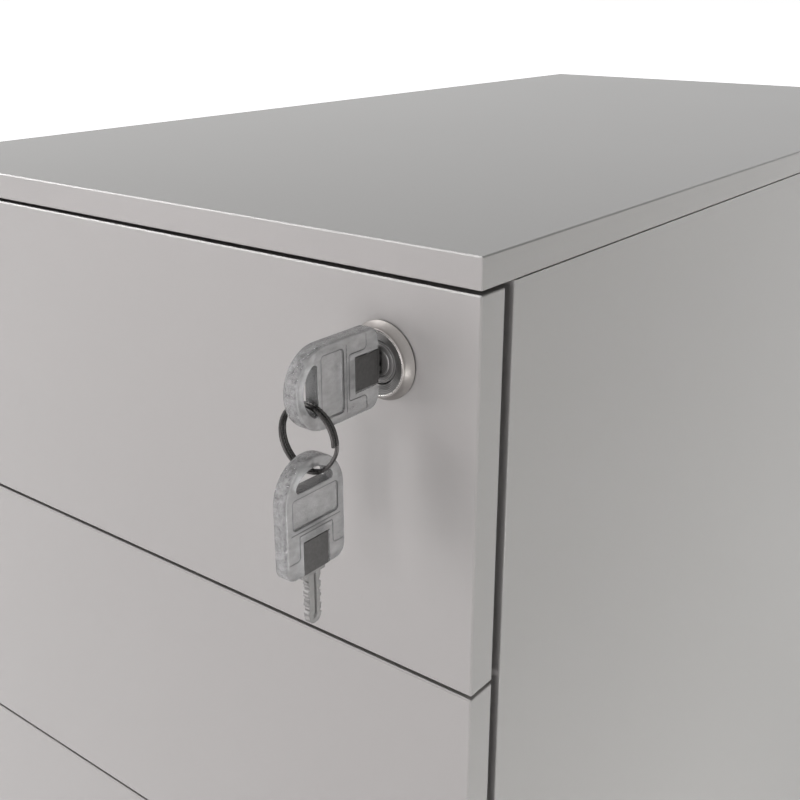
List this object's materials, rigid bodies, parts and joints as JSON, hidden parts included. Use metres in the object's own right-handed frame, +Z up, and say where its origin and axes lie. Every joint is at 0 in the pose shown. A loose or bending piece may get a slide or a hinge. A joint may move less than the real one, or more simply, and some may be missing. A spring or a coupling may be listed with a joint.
{
  "type": "rolling pedestal cabinet",
  "caption": "Slim steel under-desk drawer unit on twin-wheel castors, with a keyed lock and central locking bar, box drawers over a file drawer",
  "frame": {"origin": "on the floor, under the middle of the object's box with its hanging keys", "axes": "+Z up, +X to the right seen from the drawer fronts, which face -Y"},
  "size_m": [0.3, 0.606, 0.59],
  "materials": {
    "painted_steel": "satin powder coat, light grey",
    "galvanised_steel": "zinc-plated sheet",
    "satin_metal": "satin plated",
    "dark_metal": "dark nickel",
    "key_steel": "nickel plated",
    "clear_plastic": "clear moulded",
    "black_plastic": "fine moulded texture",
    "grey_plastic": "moulded",
    "wheel_tread": "soft tread"
  },
  "bodies": {
    "cabinet": {"top_panel": "painted_steel", "side_panel_left": "painted_steel", "side_panel_right": "painted_steel", "back_panel": "painted_steel", "base_pan": "painted_steel", "front_top_rail": "painted_steel", "rear_upright_left": "galvanised_steel", "rear_upright_right": "galvanised_steel", "bar_guide_upper": "grey_plastic", "bar_guide_lower": "grey_plastic", "drawer_1_slide_cabinet_left": "galvanised_steel", "drawer_1_slide_cabinet_right": "galvanised_steel", "drawer_2_slide_cabinet_left": "galvanised_steel", "drawer_2_slide_cabinet_right": "galvanised_steel", "drawer_3_slide_cabinet_left": "galvanised_steel", "drawer_3_slide_cabinet_right": "galvanised_steel", "castor_front_left_plate": "galvanised_steel", "castor_front_right_plate": "galvanised_steel", "castor_rear_left_plate": "galvanised_steel", "castor_rear_right_plate": "galvanised_steel"},
    "drawer_1": {"drawer_1_front": "painted_steel", "drawer_1_box": "galvanised_steel", "drawer_1_catch": "galvanised_steel", "drawer_1_slide_drawer_left": "galvanised_steel", "drawer_1_slide_drawer_right": "galvanised_steel", "pencil_tray": "black_plastic", "lock_housing": "satin_metal", "lock_nut": "galvanised_steel"},
    "drawer_2": {"drawer_2_front": "painted_steel", "drawer_2_box": "galvanised_steel", "drawer_2_catch": "galvanised_steel", "drawer_2_slide_drawer_left": "galvanised_steel", "drawer_2_slide_drawer_right": "galvanised_steel"},
    "drawer_3": {"drawer_3_front": "painted_steel", "drawer_3_box": "galvanised_steel", "drawer_3_catch": "galvanised_steel", "drawer_3_slide_drawer_left": "galvanised_steel", "drawer_3_slide_drawer_right": "galvanised_steel", "file_rail_front": "galvanised_steel", "file_rail_rear": "galvanised_steel"},
    "drawer_3_middle": {"drawer_3_slide_middle_left": "galvanised_steel", "drawer_3_slide_middle_right": "galvanised_steel"},
    "locking_bar": {"locking_bar": "galvanised_steel"},
    "lock_rotor": {"lock_rotor": "dark_metal", "lock_cam": "galvanised_steel", "key_1_head": "clear_plastic", "key_1_blade": "key_steel"},
    "key_ring": {"key_ring": "dark_metal"},
    "key_2": {"key_2_head": "clear_plastic", "key_2_blade": "key_steel"},
    "castor_front_left_swivel": {"castor_front_left_hood": "black_plastic"},
    "castor_front_left_wheels": {"castor_front_left_wheels": "wheel_tread"},
    "castor_front_left_brake": {"castor_front_left_brake": "black_plastic"},
    "castor_front_right_swivel": {"castor_front_right_hood": "black_plastic"},
    "castor_front_right_wheels": {"castor_front_right_wheels": "wheel_tread"},
    "castor_front_right_brake": {"castor_front_right_brake": "black_plastic"},
    "castor_rear_left_swivel": {"castor_rear_left_hood": "black_plastic"},
    "castor_rear_left_wheels": {"castor_rear_left_wheels": "wheel_tread"},
    "castor_rear_right_swivel": {"castor_rear_right_hood": "black_plastic"},
    "castor_rear_right_wheels": {"castor_rear_right_wheels": "wheel_tread"}
  },
  "joints": [
    {"name": "drawer_1_slide", "type": "slide", "parent": "cabinet", "child": "drawer_1", "axis": [0, -1, 0], "range_m": [0, 0.36]},
    {"name": "drawer_2_slide", "type": "slide", "parent": "cabinet", "child": "drawer_2", "axis": [0, -1, 0], "range_m": [0, 0.36]},
    {"name": "drawer_3_slide", "type": "slide", "parent": "cabinet", "child": "drawer_3", "axis": [0, -1, 0], "range_m": [0, 0.45]},
    {"name": "drawer_3_middle_slide", "type": "slide", "parent": "cabinet", "child": "drawer_3_middle", "axis": [0, -1, 0], "range_m": [0, 0.225]},
    {"name": "lock_turn", "type": "hinge", "parent": "drawer_1", "child": "lock_rotor", "pos_m": [0.116, -0.25699, 0.5542], "axis": [0, 1, 0], "range_deg": [0, 90]},
    {"name": "locking_bar_slide", "type": "slide", "parent": "cabinet", "child": "locking_bar", "axis": [0, 0, 1], "range_m": [0, 0.01273]},
    {"name": "key_ring_hang", "type": "hinge", "parent": "lock_rotor", "child": "key_ring", "pos_m": [0.116, -0.29011, 0.54538], "axis": [0, 1, 0], "range_deg": [-90, 0]},
    {"name": "key_2_swing", "type": "hinge", "parent": "key_ring", "child": "key_2", "pos_m": [0.116, -0.29011, 0.53055], "axis": [1, 0, 0], "range_deg": [-12, 12]},
    {"name": "castor_front_left_swivel_turn", "type": "hinge", "parent": "cabinet", "child": "castor_front_left_swivel", "pos_m": [-0.1, -0.18499, 0.05], "axis": [0, 0, 1], "continuous": true},
    {"name": "castor_front_left_wheel_spin", "type": "hinge", "parent": "castor_front_left_swivel", "child": "castor_front_left_wheels", "pos_m": [-0.1, -0.20299, 0.025], "axis": [1, 0, 0], "continuous": true},
    {"name": "castor_front_left_brake_press", "type": "hinge", "parent": "castor_front_left_swivel", "child": "castor_front_left_brake", "pos_m": [-0.1, -0.23459, 0.04], "axis": [1, 0, 0], "range_deg": [0, 15]},
    {"name": "castor_front_right_swivel_turn", "type": "hinge", "parent": "cabinet", "child": "castor_front_right_swivel", "pos_m": [0.1, -0.18499, 0.05], "axis": [0, 0, 1], "continuous": true},
    {"name": "castor_front_right_wheel_spin", "type": "hinge", "parent": "castor_front_right_swivel", "child": "castor_front_right_wheels", "pos_m": [0.1, -0.20299, 0.025], "axis": [1, 0, 0], "continuous": true},
    {"name": "castor_front_right_brake_press", "type": "hinge", "parent": "castor_front_right_swivel", "child": "castor_front_right_brake", "pos_m": [0.1, -0.23459, 0.04], "axis": [1, 0, 0], "range_deg": [0, 15]},
    {"name": "castor_rear_left_swivel_turn", "type": "hinge", "parent": "cabinet", "child": "castor_rear_left_swivel", "pos_m": [-0.1, 0.23101, 0.05], "axis": [0, 0, 1], "continuous": true},
    {"name": "castor_rear_left_wheel_spin", "type": "hinge", "parent": "castor_rear_left_swivel", "child": "castor_rear_left_wheels", "pos_m": [-0.1, 0.24901, 0.025], "axis": [1, 0, 0], "continuous": true},
    {"name": "castor_rear_right_swivel_turn", "type": "hinge", "parent": "cabinet", "child": "castor_rear_right_swivel", "pos_m": [0.1, 0.23101, 0.05], "axis": [0, 0, 1], "continuous": true},
    {"name": "castor_rear_right_wheel_spin", "type": "hinge", "parent": "castor_rear_right_swivel", "child": "castor_rear_right_wheels", "pos_m": [0.1, 0.24901, 0.025], "axis": [1, 0, 0], "continuous": true}
  ],
  "couplings": [
    {"joint": "drawer_3_middle_slide", "follows": "drawer_3_slide", "ratio": 0.5},
    {"joint": "lock_turn", "follows": "locking_bar_slide", "rad_per_m": 123.41},
    {"joint": "key_ring_hang", "follows": "locking_bar_slide", "rad_per_m": -123.41}
  ]
}
